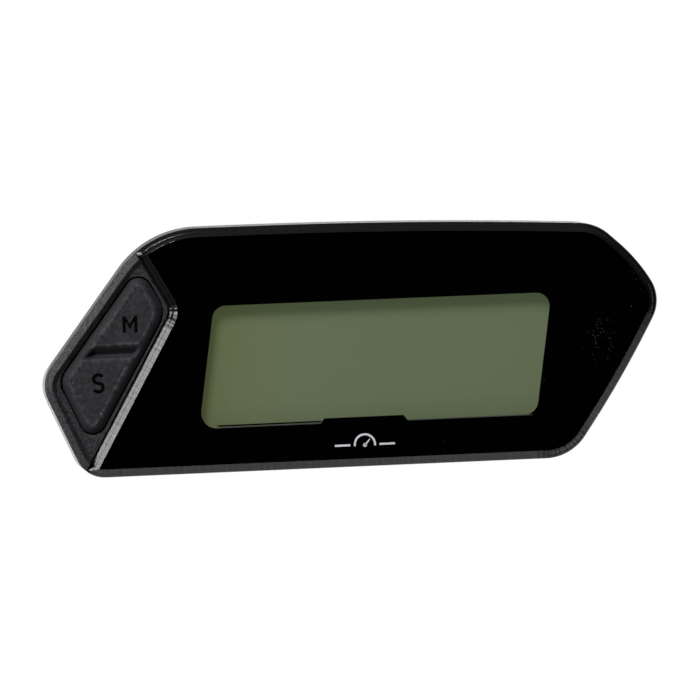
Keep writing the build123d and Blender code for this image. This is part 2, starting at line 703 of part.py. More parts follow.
with BuildPart() as connector_shell:
    with BuildSketch(at(FLANGE_FRONT_Y)):
        with Locations(CONNECTOR_AT):
            RectangleRounded(*FLANGE)
    extrude(amount=FLANGE_FRONT_Y - FLANGE_BACK_Y)
    with BuildSketch(at(FLANGE_BACK_Y)):
        with Locations(CONNECTOR_AT):
            RectangleRounded(*SHELL)
    extrude(amount=FLANGE_BACK_Y - CONNECTOR_END_Y)
    fillet(connector_shell.faces().sort_by(Axis.Y)[-1].edges(), radius=0.5)
    with BuildSketch(at(CONNECTOR_END_Y)):
        with Locations(CONNECTOR_AT):
            RectangleRounded(*RECESS)
    extrude(amount=CONNECTOR_END_Y - RECESS_FLOOR_Y, mode=Mode.SUBTRACT)
    # latch nose and two guide ribs on top
    with BuildSketch(Plane.YZ.offset(-LATCH_WIDTH / 2)):
        with BuildLine():
            Polyline(*LATCH, close=True)
        make_face()
    extrude(amount=LATCH_WIDTH)
    with BuildSketch(at(CONNECTOR_END_Y - 0.8)):
        with Locations((CONNECTOR_AT[0] - 6.0, CONNECTOR_AT[1] + 5.9),
                       (CONNECTOR_AT[0] + 6.0, CONNECTOR_AT[1] + 5.9)):
            Rectangle(1.0, 1.2)
    extrude(amount=8.2)
    # pin holes
    with BuildSketch(at(0)):
        with Locations(CONNECTOR_AT):
            with GridLocations(PIN_PITCH, PIN_ROWS, 4, 2):
                Rectangle(PIN, PIN)
    extrude(amount=10, mode=Mode.SUBTRACT)
write(connector_shell, "connector_shell")

with BuildPart() as connector_pins:
    with BuildSketch(at(PIN_END_Y)):
        with Locations(CONNECTOR_AT):
            with GridLocations(PIN_PITCH, PIN_ROWS, 4, 2):
                Rectangle(PIN, PIN)
    extrude(amount=PIN_END_Y - BOARD_BACK_Y)
    chamfer(connector_pins.edges().group_by(Axis.Y)[-1], length=0.2)
    # feet
    with BuildSketch(at(BOARD_BACK_Y)):
        with Locations(CONNECTOR_AT):
            with GridLocations(PIN_PITCH, PIN_ROWS + PIN_FOOT, 4, 2):
                Rectangle(PIN, PIN_FOOT + PIN)
    extrude(amount=-0.5)
write(connector_pins, "connector_pins")

with BuildPart() as connector_seal:
    with BuildSketch(at(FLANGE_BACK_Y)):
        with Locations(CONNECTOR_AT):
            RectangleRounded(*FLANGE_SEAL)
            RectangleRounded(*CONNECTOR_HOLE, mode=Mode.SUBTRACT)
    extrude(amount=FLANGE_BACK_Y - CAVITY_BACK_Y)
write(connector_seal, "connector_seal")

# ================= vent =================
VENT_STEM = 2.4        # stem length
VENT_INNER_Y = VENT_SEAT_Y - VENT_STEM
VENT_BORE_R = 1.6

with BuildPart() as vent_plug:
    with BuildSketch(at(VENT_SEAT_Y)):
        with Locations(VENT_AT):
            Circle(5.0)
    extrude(amount=-1.5)
    fillet(vent_plug.faces().sort_by(Axis.Y)[-1].edges(), radius=0.5)
    with BuildSketch(at(VENT_SEAT_Y)):
        with Locations(VENT_AT):
            Circle(2.5)
    extrude(amount=VENT_STEM)
    # blind bore from the inner end
    with BuildSketch(at(VENT_INNER_Y)):
        with Locations(VENT_AT):
            Circle(VENT_BORE_R)
    extrude(amount=-3.0, mode=Mode.SUBTRACT)
    # crossed channels through the head, open at its rim
    with BuildSketch(at(-3.4)):
        with Locations(VENT_AT):
            Rectangle(12.0, 0.8)
            Rectangle(0.8, 12.0)
    extrude(amount=-0.35, mode=Mode.SUBTRACT)
write(vent_plug, "vent_plug")

with BuildPart() as vent_membrane:
    with BuildSketch(at(VENT_INNER_Y)):
        with Locations(VENT_AT):
            Circle(VENT_BORE_R)
    extrude(amount=-0.2)
write(vent_membrane, "vent_membrane")
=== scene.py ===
# Wide display unit: a case with a clear cover lens and a two-key rubber panel at its left end.
# The front faces -Y, X runs to the right as seen from the front, and Z is up.
# Dimensions are in mm and outline points are (x, z), unless a comment says otherwise.
import bpy
import bmesh
import json
import math
import numpy as np
from mathutils import Matrix, Vector

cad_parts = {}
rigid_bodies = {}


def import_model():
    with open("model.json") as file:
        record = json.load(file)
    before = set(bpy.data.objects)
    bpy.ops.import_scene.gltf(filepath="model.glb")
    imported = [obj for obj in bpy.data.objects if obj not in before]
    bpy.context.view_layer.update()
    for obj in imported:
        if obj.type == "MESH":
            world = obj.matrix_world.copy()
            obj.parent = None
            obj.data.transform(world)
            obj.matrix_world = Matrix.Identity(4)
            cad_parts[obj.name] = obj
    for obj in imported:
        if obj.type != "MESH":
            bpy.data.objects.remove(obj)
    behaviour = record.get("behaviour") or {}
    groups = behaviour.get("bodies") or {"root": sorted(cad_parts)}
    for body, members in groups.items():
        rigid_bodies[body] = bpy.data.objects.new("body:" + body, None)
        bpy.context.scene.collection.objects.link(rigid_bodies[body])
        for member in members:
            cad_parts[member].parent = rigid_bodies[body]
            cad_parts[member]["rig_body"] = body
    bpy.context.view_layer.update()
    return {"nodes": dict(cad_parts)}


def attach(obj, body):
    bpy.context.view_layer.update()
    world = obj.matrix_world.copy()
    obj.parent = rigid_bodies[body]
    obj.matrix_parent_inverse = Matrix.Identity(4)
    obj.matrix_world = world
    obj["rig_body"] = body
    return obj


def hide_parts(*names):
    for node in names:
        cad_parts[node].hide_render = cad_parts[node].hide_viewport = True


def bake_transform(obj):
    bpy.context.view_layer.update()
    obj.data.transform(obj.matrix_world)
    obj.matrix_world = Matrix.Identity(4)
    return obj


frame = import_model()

NODES = frame["nodes"]
MM = 0.001
SCENE = bpy.context.scene
SCENE.view_settings.view_transform = "Standard"
SCENE.view_settings.look = "None"
SCENE.view_settings.exposure = 0.0
SCENE.view_settings.gamma = 1.0

# ---------------------------------------------------------------- driving dimensions
FRONT_Y = -22.0
# corners of the case outline, counter-clockwise, and the radius of each
OUTLINE = [(50.99, -27.4), (63.68, -9.3), (73.64, 8.92), (67.87, 18.46), (58.64, 26.93),
           (14.5, 29.56), (-45.46, 29.44), (-71.59, -4.74), (-61.89, -27.17)]
OUTLINE_RADII = [11.3, 246.9, 8.8, 39.2, 11.1, 1295.1, 23.0, 7.2, 6.9]

# the seam is the bent edge of the lens beside the key panel
SEAM_CORNER = np.array([-40.82, 10.77])
SEAM_RADIUS = 4.0
SEAM_UPPER = np.array([0.4846, -0.8747])    # direction of the run above the corner, downward
SEAM_LOWER = np.array([-0.4953, -0.8687])   # direction of the run below the corner, downward

# corners of the key panel, counter-clockwise from the top, and the radius of each
KEYPAD = [(-47.67, 21.74), (-67.58, -4.3), (-60.14, -20.99), (-41.72, 10.53)]
KEYPAD_RADII = [3.35, 4.7, 3.2, 6.3]
KEY_GAP = 0.4           # from the panel outline to the rubber
KEY_SPLIT_Z = 1.65      # where the two keys meet


# ---------------------------------------------------------------- plane geometry
def unit(vector):
    return vector / np.linalg.norm(vector)


def left_of(vector):
    return np.array([-vector[1], vector[0]])


def direction(angle):
    return np.array([math.cos(angle), math.sin(angle)])


def angle_of(vector):
    return math.atan2(vector[1], vector[0])


def smooth(value, start, end):
    """Smooth step from 0 at start to 1 at end."""
    t = np.clip((value - start) / (end - start), 0.0, 1.0)
    return t * t * (3 - 2 * t)


def edge_normals(points):
    """The points as arrays, and the inward normal of each edge; edge i leaves point i."""
    points = [np.array(p, float) for p in points]
    following = points[1:] + points[:1]
    return points, [left_of(unit(b - a)) for a, b in zip(points, following)]


def rounded(points, radii, inset, arc_deg, step):
    """Samples of a rounded counter-clockwise polygon moved inward by inset, with inward normals.
    Samples are at most arc_deg or step apart, measured so that inset doesn't change their number."""
    corners, normals = edge_normals(points)
    count = len(corners)

    def fillets(distance):
        """Start, end, centre, radius, turn and convexity of each corner at this inset."""
        moved = [corners[i] + distance / (1 + normals[i - 1] @ normals[i])
                 * (normals[i - 1] + normals[i]) for i in range(count)]
        found = []
        for i, corner in enumerate(moved):
            back = unit(moved[i - 1] - corner)
            ahead = unit(moved[(i + 1) % count] - corner)
            convex = back[0] * ahead[1] - back[1] * ahead[0] < 0
            radius = max(radii[i] - distance, 0.0) if convex else radii[i] + distance
            half = math.acos(max(-1.0, min(1.0, float(back @ ahead)))) / 2
            centre = corner + unit(back + ahead) * (radius / math.sin(half))
            tangent = radius / math.tan(half)
            found.append((corner + back * tangent, corner + ahead * tangent, centre, radius,
                          math.pi - 2 * half, convex))
        return found

    plain, moved = fillets(0.0), fillets(inset)
    samples, sample_normals = [], []
    for i in range(count):
        _, end, centre, radius, turn, convex = moved[i]
        arc_steps = max(2, math.ceil(math.degrees(turn) / arc_deg),
                        math.ceil(plain[i][3] * turn / step))
        if radii[i] <= 0:
            arc_steps = 1
        first = angle_of(normals[i - 1])
        sweep = (angle_of(normals[i]) - first + math.pi) % (2 * math.pi) - math.pi
        for j in range(arc_steps + 1):
            normal = direction(first + sweep * j / arc_steps)
            samples.append(centre - normal * radius if convex else centre + normal * radius)
            sample_normals.append(normal)
        following = (i + 1) % count
        next_start = moved[following][0]
        steps = max(1, math.ceil(np.linalg.norm(plain[following][0] - plain[i][1]) / step))
        for j in range(1, steps):
            samples.append(end + (next_start - end) * j / steps)
            sample_normals.append(normals[i])
    return np.array(samples), np.array(sample_normals)


def shifted(points, distances):
    """Polygon with each edge i moved inward by distances[i]."""
    points, normals = edge_normals(points)
    moved = []
    for i, point in enumerate(points):
        lines = np.array([normals[i - 1], normals[i]])
        offsets = np.array([normals[i - 1] @ point + distances[i - 1],
                            normals[i] @ point + distances[i]])
        moved.append(tuple(np.linalg.solve(lines, offsets)))
    return moved


def stroke(path, width):
    """Outline polygon of a constant-width stroke along a path."""
    path = [np.array(p, float) for p in path]
    runs = [unit(b - a) for a, b in zip(path, path[1:])]
    left, right = [], []
    for i, point in enumerate(path):
        before, after = runs[max(i - 1, 0)], runs[min(i, len(runs) - 1)]
        normal = left_of(unit(after + before))
        miter = 1 / max(0.4, float(left_of(before) @ normal))
        left.append(point + normal * width / 2 * miter)
        right.append(point - normal * width / 2 * miter)
    return left + right[::-1]


def arc_path(x, z, radius_x, radius_z, start, end, steps):
    """Points along an elliptical arc; angles in degrees."""
    angles = [math.radians(start + (end - start) * k / steps) for k in range(steps + 1)]
    return [(x + radius_x * math.cos(a), z + radius_z * math.sin(a)) for a in angles]


# ---------------------------------------------------------------- mesh helpers
def add_vert(bm, point, y):
    return bm.verts.new((point[0] * MM, y * MM, point[1] * MM))


def bridge(bm, row, next_row, material_index=0):
    """Quads between two closed rows of vertices."""
    for i in range(len(row)):
        j = (i + 1) % len(row)
        face = bm.faces.new((row[i], row[j], next_row[j], next_row[i]))
        face.material_index = material_index


def finish_mesh(bm, name, weld=None):
    """Mesh from bm with its normals outward; weld is an optional merging distance in metres."""
    if weld:
        bmesh.ops.remove_doubles(bm, verts=bm.verts, dist=weld)
        bmesh.ops.dissolve_degenerate(bm, edges=bm.edges, dist=1e-8)
    bmesh.ops.recalc_face_normals(bm, faces=bm.faces)
    mesh = bpy.data.meshes.new(name)
    bm.to_mesh(mesh)
    bm.free()
    return mesh


def link_object(name, data):
    obj = bpy.data.objects.new(name, data)
    SCENE.collection.objects.link(obj)
    return obj


def make_object(name, mesh, materials, smooth_angle=32.0, weighted=True):
    """Smooth-shaded object with edges sharp above smooth_angle degrees."""
    obj = link_object(name, mesh)
    for material in materials:
        mesh.materials.append(material)
    mesh.polygons.foreach_set("use_smooth", [True] * len(mesh.polygons))
    mesh.set_sharp_from_angle(angle=math.radians(smooth_angle))
    if weighted:
        modifier = obj.modifiers.new("normals", "WEIGHTED_NORMAL")
        modifier.mode = "FACE_AREA"
        modifier.weight = 80
        modifier.keep_sharp = True
    return obj


def ring_mesh(name, rings, materials, second_bands=(), run=None, across=None, turn=None,
              capped=True, **shading):
    """Closed mesh from rings [(points, y)], ordered from the back towards the front.
    The bands of second_bands take the second material. Every vertex carries the floats run and
    turn of its place in the ring, and across of its ring."""
    bm = bmesh.new()
    run_layer, across_layer, turn_layer = [bm.verts.layers.float.new(layer)
                                           for layer in ("run", "across", "turn")]
    rows = []
    for k, (points, y) in enumerate(rings):
        row = []
        for i, point in enumerate(points):
            vert = add_vert(bm, point, y if np.isscalar(y) else y[i])
            vert[run_layer] = float(i if run is None else run[i])
            vert[across_layer] = float(k if across is None else across[k])
            vert[turn_layer] = 0.0 if turn is None else float(turn[i])
            row.append(vert)
        rows.append(row)
    for k, (row, next_row) in enumerate(zip(rows, rows[1:])):
        bridge(bm, row, next_row, 1 if k in second_bands else 0)
    if capped:
        bm.faces.new(rows[0][::-1])
        bm.faces.new(rows[-1])
    return make_object(name, finish_mesh(bm, name, weld=2e-7), materials, **shading)


def soften(node, material, width, angle=30):
    """The node's own shape with rounded edges of this width, in place of the CAD mesh.
    Edges that bend by more than angle degrees are rounded."""
    source = NODES[node]
    bm = bmesh.new()
    bm.from_mesh(source.data)
    bmesh.ops.remove_doubles(bm, verts=bm.verts, dist=1e-6)
    bmesh.ops.dissolve_limit(bm, angle_limit=math.radians(0.35), verts=bm.verts, edges=bm.edges)
    edges = [e for e in bm.edges
             if len(e.link_faces) == 2 and e.calc_face_angle(0.0) > math.radians(angle)]
    if edges:
        bmesh.ops.bevel(bm, geom=edges, offset=width * MM, offset_type="OFFSET", segments=2,
                        profile=0.5, affect="EDGES", clamp_overlap=False)
    mesh = finish_mesh(bm, node + "_skin", weld=4e-7)
    # shading data of the CAD mesh no longer fits
    for name in ("custom_normal", "sharp_edge", "sharp_face"):
        if name in mesh.attributes:
            mesh.attributes.remove(mesh.attributes[name])
    skin = make_object(node + "_skin", mesh, [material])
    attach(skin, source["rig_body"])
    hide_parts(node)


# ---------------------------------------------------------------- shader builder
class Shader:
    """Node builder for a material or a world. A value is a number, a tuple or a socket."""

    def __init__(self, owner, output="ShaderNodeOutputMaterial"):
        owner.use_nodes = True
        self.owner = owner
        self.tree = owner.node_tree
        self.tree.nodes.clear()
        self.output = self.add(output)
        self.coord = self.add("ShaderNodeTexCoord")

    def add(self, kind, inputs=None, **settings):
        """New node; inputs maps socket names or numbers to values, with colours as RGB."""
        node = self.tree.nodes.new(kind)
        for name, setting in settings.items():
            setattr(node, name, setting)
        for key, value in (inputs or {}).items():
            socket = node.inputs[key]
            if isinstance(value, bpy.types.NodeSocket):
                self.tree.links.new(value, socket)
            elif socket.type == "RGBA":
                socket.default_value = (*value, 1)
            else:
                socket.default_value = value
        return node

    def done(self, shader):
        self.tree.links.new(shader, self.output.inputs["Surface"])
        return self.owner

    def noise(self, scale, detail=3.0, rough=0.55, vector=None):
        return self.add("ShaderNodeTexNoise", {
            "Scale": scale, "Detail": detail, "Roughness": rough,
            "Vector": vector or self.coord.outputs["Object"]}).outputs["Fac"]

    def specks(self, scale, size):
        """0 to 1 mask of small scattered specks."""
        cells = self.add("ShaderNodeTexVoronoi",
                         {"Scale": scale, "Vector": self.coord.outputs["Object"]})
        near = self.math("LESS_THAN", cells.outputs["Distance"], size)
        channels = self.add("ShaderNodeSeparateColor", {"Color": cells.outputs["Color"]})
        few = self.math("GREATER_THAN", channels.outputs[0], 0.78)
        return self.math("MULTIPLY", near, few)

    def ramp(self, factor, stops):
        """Colour ramp through stops (position, RGB)."""
        node = self.add("ShaderNodeValToRGB", {"Fac": factor})
        elements = node.color_ramp.elements
        for element, (position, color) in zip(elements, (stops[0], stops[-1])):
            element.position = position
            element.color = (*color, 1)
        for position, color in stops[1:-1]:
            elements.new(position).color = (*color, 1)
        return node.outputs["Color"]

    def remap(self, value, to=(0.0, 1.0), over=(0.0, 1.0), interpolation="LINEAR"):
        """Maps the range over to the range to, and clamps."""
        return self.add("ShaderNodeMapRange", {
            "From Min": over[0], "From Max": over[1], "To Min": to[0], "To Max": to[1],
            "Value": value}, interpolation_type=interpolation).outputs["Result"]

    def math(self, operation, *values, clamp=False):
        """One operation applied to the values from left to right; clamp acts on the last."""
        if len(values) > 2:
            values = (self.math(operation, *values[:-1]), values[-1])
        return self.add("ShaderNodeMath", dict(enumerate(values)),
                        operation=operation, use_clamp=clamp).outputs[0]

    def weighted(self, *pairs):
        """Sum of (value, weight) pairs."""
        return self.math("ADD", *[self.math("MULTIPLY", *pair) for pair in pairs])

    def bell(self, value, centre, width):
        """Bell curve of height 1 around centre."""
        off = self.math("DIVIDE", self.math("SUBTRACT", value, centre), width)
        return self.math("POWER", 2.718, self.math("MULTIPLY", off, off, -1.0))

    def length(self, vector):
        return self.add("ShaderNodeVectorMath", {0: vector}, operation="LENGTH").outputs["Value"]

    def mapping(self, inputs):
        """Object coordinates through a mapping node."""
        return self.add("ShaderNodeMapping", {
            "Vector": self.coord.outputs["Object"], **inputs}).outputs["Vector"]

    def xyz(self, coordinates="Object"):
        return self.add("ShaderNodeSeparateXYZ", {0: self.coord.outputs[coordinates]}).outputs

    def attribute(self, name):
        return self.add("ShaderNodeAttribute", attribute_name=name).outputs["Fac"]

    def mix(self, factor, a, b):
        """Colour from a to b."""
        return self.add("ShaderNodeMix", {0: factor, 6: a, 7: b}, data_type="RGBA").outputs[2]

    def bump(self, height, distance, strength):
        """Bumped normal; distance in metres."""
        return self.add("ShaderNodeBump", {
            "Strength": strength, "Distance": distance, "Height": height}).outputs["Normal"]

    def principled(self, color, rough, metallic=0.0, normal=None, spec=0.5, painted_glow=None):
        inputs = {"Base Color": color, "Roughness": rough, "Metallic": metallic,
                  "Specular IOR Level": spec}
        if normal is not None:
            inputs["Normal"] = normal
        if painted_glow is not None:
            inputs.update({"Emission Color": painted_glow, "Emission Strength": 1.0})
        return self.add("ShaderNodeBsdfPrincipled", inputs).outputs[0]

    def bsdf(self, kind, **inputs):
        return self.add("ShaderNodeBsdf" + kind, inputs).outputs[0]

    def mix_shader(self, factor, a, b):
        return self.add("ShaderNodeMixShader", {0: factor, 1: a, 2: b}).outputs[0]

    def outer_fresnel(self, gain, normal=None):
        """Share of light a clear plastic reflects at its outer side; nothing on the way out,
        as rays pass straight."""
        inputs = {"IOR": 1.49}
        if normal is not None:
            inputs["Normal"] = normal
        fresnel = self.add("ShaderNodeFresnel", inputs).outputs[0]
        backfacing = self.add("ShaderNodeNewGeometry").outputs["Backfacing"]
        outside = self.math("SUBTRACT", 1.0, backfacing)
        return self.math("MULTIPLY", fresnel, gain, outside, clamp=True)


def new_material(name):
    return Shader(bpy.data.materials.new(name))


# ---------------------------------------------------------------- materials
def case_plastic():
    """Textured moulding with fine dust."""
    m = new_material("case_plastic")
    grain = m.noise(scale=2300, rough=0.8)
    cell = m.noise(scale=1900, rough=0.8)
    blotches = m.noise(scale=90, detail=2.0, rough=0.5)
    base = m.ramp(m.weighted((cell, 0.8), (blotches, 0.2)),
                  [(0.40, (0.0075, 0.0075, 0.0088)), (0.62, (0.0195, 0.0195, 0.0225))])
    dust = m.specks(scale=1500, size=0.16)
    base = m.mix(m.math("MULTIPLY", dust, 0.25), base, (0.20, 0.20, 0.20))
    height = m.weighted((grain, 0.6), (cell, 0.8))
    return m.done(m.principled(
        base, rough=m.remap(grain, to=(0.40, 0.66)),
        normal=m.bump(height, distance=0.00022, strength=0.9),
        spec=m.remap(cell, to=(0.14, 0.5), over=(0.38, 0.62))))


def case_side_painted_sheen():
    """Smoother case plastic, slightly lighter as a painted sheen of the lit side."""
    m = new_material("case_plastic_side_painted_sheen")
    cell = m.noise(scale=1900, rough=0.8)
    grain = m.noise(scale=2300, rough=0.8)
    base = m.ramp(cell, [(0.40, (0.012, 0.012, 0.0135)), (0.62, (0.028, 0.028, 0.031))])
    return m.done(m.principled(base, rough=m.remap(grain, to=(0.22, 0.38)),
                               normal=m.bump(cell, distance=0.00005, strength=0.4)))


def key_rubber():
    m = new_material("key_rubber")
    fine = m.noise(scale=3800, detail=2.0, rough=0.6)
    soft = m.noise(scale=900, detail=4.0, rough=0.75)
    base = m.ramp(soft, [(0.3, (0.0092, 0.0092, 0.0112)), (0.72, (0.0138, 0.0138, 0.0165))])
    # dust on the edge of the flat top, with a painted highlight of that edge in the lighter band
    edge_dust_and_highlight = m.bell(m.attribute("across"), centre=1.85, width=0.55)
    patchy = m.remap(m.noise(scale=1100, detail=4.0, rough=0.8), over=(0.42, 0.66))
    base = m.mix(m.math("MULTIPLY", edge_dust_and_highlight, patchy, 0.32, clamp=True), base, (0.14, 0.14, 0.145))
    dust = m.specks(scale=1250, size=0.14)
    lint = m.specks(scale=420, size=0.05)
    dust_share = m.math("ADD", m.math("MULTIPLY", edge_dust_and_highlight, 0.3), 0.1)
    base = m.mix(m.math("MULTIPLY", dust, dust_share), base, (0.34, 0.34, 0.33))
    base = m.mix(m.math("MULTIPLY", lint, 0.5), base, (0.42, 0.42, 0.40))
    return m.done(m.principled(base, rough=m.remap(soft, to=(0.60, 0.76)), spec=0.16,
                               normal=m.bump(fine, distance=0.00006, strength=0.45)))


DUSTY = [(58.2, 0.2, 4.6, 7.0), (68.5, 14.5, 3.0, 5.0)]    # lens patches: x, z, half sizes


def lens_front():
    """Polished clear plastic with a little dust."""
    m = new_material("lens_polished")
    haze = m.noise(scale=140, rough=0.6)
    dust = m.specks(scale=330, size=0.035)
    fine = m.specks(scale=900, size=0.05)
    polished = m.mix_shader(
        m.outer_fresnel(gain=1.0), m.bsdf("Transparent"),
        m.bsdf("Glossy", Roughness=m.remap(haze, to=(0.02, 0.06))))
    patches = []
    for x, z, half_x, half_z in DUSTY:
        # the patch becomes a unit circle; object coordinates are in metres
        local = m.mapping({"Location": (-x / half_x, 0, -z / half_z),
                           "Scale": (1 / MM / half_x, 0, 1 / MM / half_z)})
        patches.append(m.remap(m.length(local), to=(1.0, 0.0), over=(0.3, 1.0)))
    patch = m.math("MAXIMUM", *patches, 0.0)
    crumbs = m.math("MULTIPLY", m.specks(scale=1500, size=0.3), patch)
    dust = m.math("MAXIMUM", dust, m.math("MULTIPLY", crumbs, 0.42))
    dirt_share = m.math("MAXIMUM", dust, m.math("MULTIPLY", fine, 0.3))
    return m.done(m.mix_shader(m.math("MULTIPLY", dirt_share, 0.12), polished,
                               m.bsdf("Diffuse", Color=(0.35, 0.35, 0.35))))


BEVEL_DARK_LINES = [(0.93, 0.75), (1.68, 0.6)]    # dark lines along the lens edge: inset, strength


def lens_bevel():
    """Machined edge of the lens: fine cutter marks across the bevel."""
    m = new_material("lens_machined_edge")
    across, turn = m.attribute("across"), m.attribute("turn")
    along = m.add("ShaderNodeCombineXYZ", {
        0: m.attribute("run"), 1: m.math("MULTIPLY", across, 0.01)}).outputs[0]
    marks = m.noise(scale=1.35, rough=0.85, vector=along)
    wide = m.noise(scale=0.9, detail=1.0, rough=0.5, vector=along)
    steps = m.remap(m.noise(scale=1.7, detail=1.0, rough=0.5, vector=along), over=(0.44, 0.56))
    normal = m.bump(wide, distance=0.000010, strength=0.5)
    # clear body with a trace of haze
    body = m.mix_shader(0.05, m.bsdf("Transparent", Color=(0.12, 0.12, 0.13)),
                        m.bsdf("Diffuse", Color=(0.05, 0.05, 0.055)))
    # reflections follow the marks, and break into steps where the edge turns
    shade = m.remap(marks, to=(0.42, 1.62), over=(0.25, 0.75))
    shade = m.math("SUBTRACT", shade, m.math("MULTIPLY", turn, 0.22))
    stepped = m.math("MULTIPLY", turn, m.math("SUBTRACT", steps, 0.75), 0.95)
    shade = m.math("ADD", shade, stepped)
    edge = m.mix_shader(
        m.math("MULTIPLY", m.outer_fresnel(gain=1.15, normal=normal), shade, clamp=True), body,
        m.bsdf("Glossy", Roughness=m.remap(marks, to=(0.09, 0.17)), Normal=normal))
    # two dark lines along the bevel, on the upper left of the lens
    lines = m.math("MAXIMUM", *[
        m.math("MULTIPLY", m.bell(across, centre=inset, width=0.055), strength)
        for inset, strength in BEVEL_DARK_LINES])
    x, _, z = m.xyz()
    here = m.math("MULTIPLY", m.remap(x, to=(1.0, 0.0), over=(-0.040, -0.030)),
                  m.remap(z, over=(-0.001, 0.016)))
    broken = m.remap(marks, to=(0.3, 1.2), over=(0.3, 0.7))
    dark_line_share = m.math("MULTIPLY", m.math("MULTIPLY", lines, here), broken, clamp=True)
    return m.done(m.mix_shader(dark_line_share, edge,
                               m.bsdf("Diffuse", Color=(0.034, 0.034, 0.037))))


def mask_print():
    """Black print behind the lens."""
    m = new_material("mask_print")
    mottle = m.noise(scale=500, rough=0.6)
    base = m.ramp(mottle, [(0.3, (0.0002, 0.0002, 0.0004)), (0.75, (0.0004, 0.0004, 0.0007))])
    return m.done(m.principled(base, rough=m.remap(mottle, to=(0.55, 0.7)), spec=0.0,
                               normal=m.bump(mottle, distance=0.00001, strength=0.1)))


def lcd_tint():
    """Display with a painted glow, shifting in tint from left to right and darker at the bottom."""
    m = new_material("lcd_tint")
    cloud = m.noise(scale=22, rough=0.5)
    fine = m.noise(scale=2500, detail=2.0, rough=0.5)
    x, _, z = m.xyz()
    side = m.math("ADD", m.remap(x, to=(0.0, 0.8), over=(-0.036, 0.012)),
                  m.math("MULTIPLY", cloud, 0.2))
    base = m.ramp(side, [(0.15, (0.074, 0.079, 0.041)), (0.55, (0.066, 0.079, 0.047)),
                         (0.95, (0.065, 0.077, 0.045))])
    # painted glow: emission that lightens the display where the mask shades it, in place of fill
    # light
    painted_glow = m.ramp(side, [(0.15, (0.056, 0.070, 0.029)), (0.55, (0.053, 0.072, 0.036)),
                         (0.95, (0.052, 0.070, 0.035))])
    low = m.remap(z, to=(0.22, 0.0), over=(-0.0172, -0.0120))
    low = m.math("ADD", low, m.math("MULTIPLY", fine, 0.08), clamp=True)
    base = m.mix(low, base, (0.03, 0.033, 0.018))
    painted_glow = m.mix(low, painted_glow, (0.024, 0.030, 0.013))
    dots = m.specks(scale=260, size=0.03)
    base = m.mix(m.math("MULTIPLY", dots, 0.5), base, (0.45, 0.47, 0.36))
    return m.done(m.principled(base, rough=m.remap(fine, to=(0.42, 0.55)), spec=0.25, painted_glow=painted_glow,
                               normal=m.bump(fine, distance=0.00001, strength=0.2)))


def plain(name, dark, light, rough, scale, metallic=0.0, spec=0.5, bump=0.00002, strength=0.3,
          stretch=None):
    """General moulded or turned finish: colour, roughness and height vary together."""
    m = new_material(name)
    grain = m.noise(scale=scale, vector=m.mapping({"Scale": stretch}) if stretch else None)
    wide = m.noise(scale=scale * 0.07, detail=2.0, rough=0.5)
    base = m.ramp(m.weighted((grain, 0.6), (wide, 0.4)), [(0.32, dark), (0.68, light)])
    return m.done(m.principled(base, rough=m.remap(grain, to=rough), metallic=metallic,
                               normal=m.bump(grain, bump, strength), spec=spec))


def board_material():
    """Solder mask with a faint pattern of tracks and tinned pads."""
    m = new_material("circuit_board")
    upright = m.mapping({"Rotation": (math.radians(90), 0, 0)})
    tracks = m.add("ShaderNodeTexBrick", {
        "Scale": 240.0, "Mortar Size": 0.03, "Vector": upright}).outputs["Fac"]
    grain = m.noise(scale=700)
    base = m.mix(tracks, (0.012, 0.085, 0.035), (0.02, 0.13, 0.055))
    pads = m.specks(scale=300, size=0.18)
    base = m.mix(m.math("MULTIPLY", pads, 0.9), base, (0.62, 0.60, 0.55))
    return m.done(m.principled(base, rough=m.remap(grain, to=(0.25, 0.42)),
                               metallic=m.math("MULTIPLY", pads, 0.8),
                               normal=m.bump(tracks, distance=0.00003, strength=0.3)))


def clear_material(name, color, solid, rough):
    """Tinted clear material; solid is the share of its surface that isn't see-through."""
    m = new_material(name)
    mottle = m.noise(scale=300, detail=2.0)
    base = m.ramp(mottle, [(0.3, tuple(c * 0.93 for c in color)), (0.7, color)])
    surface = m.principled(base, rough=m.remap(mottle, to=(rough, rough + 0.05)),
                           normal=m.bump(mottle, distance=0.000005, strength=0.1))
    return m.done(m.mix_shader(solid, m.bsdf("Transparent", Color=color), surface))


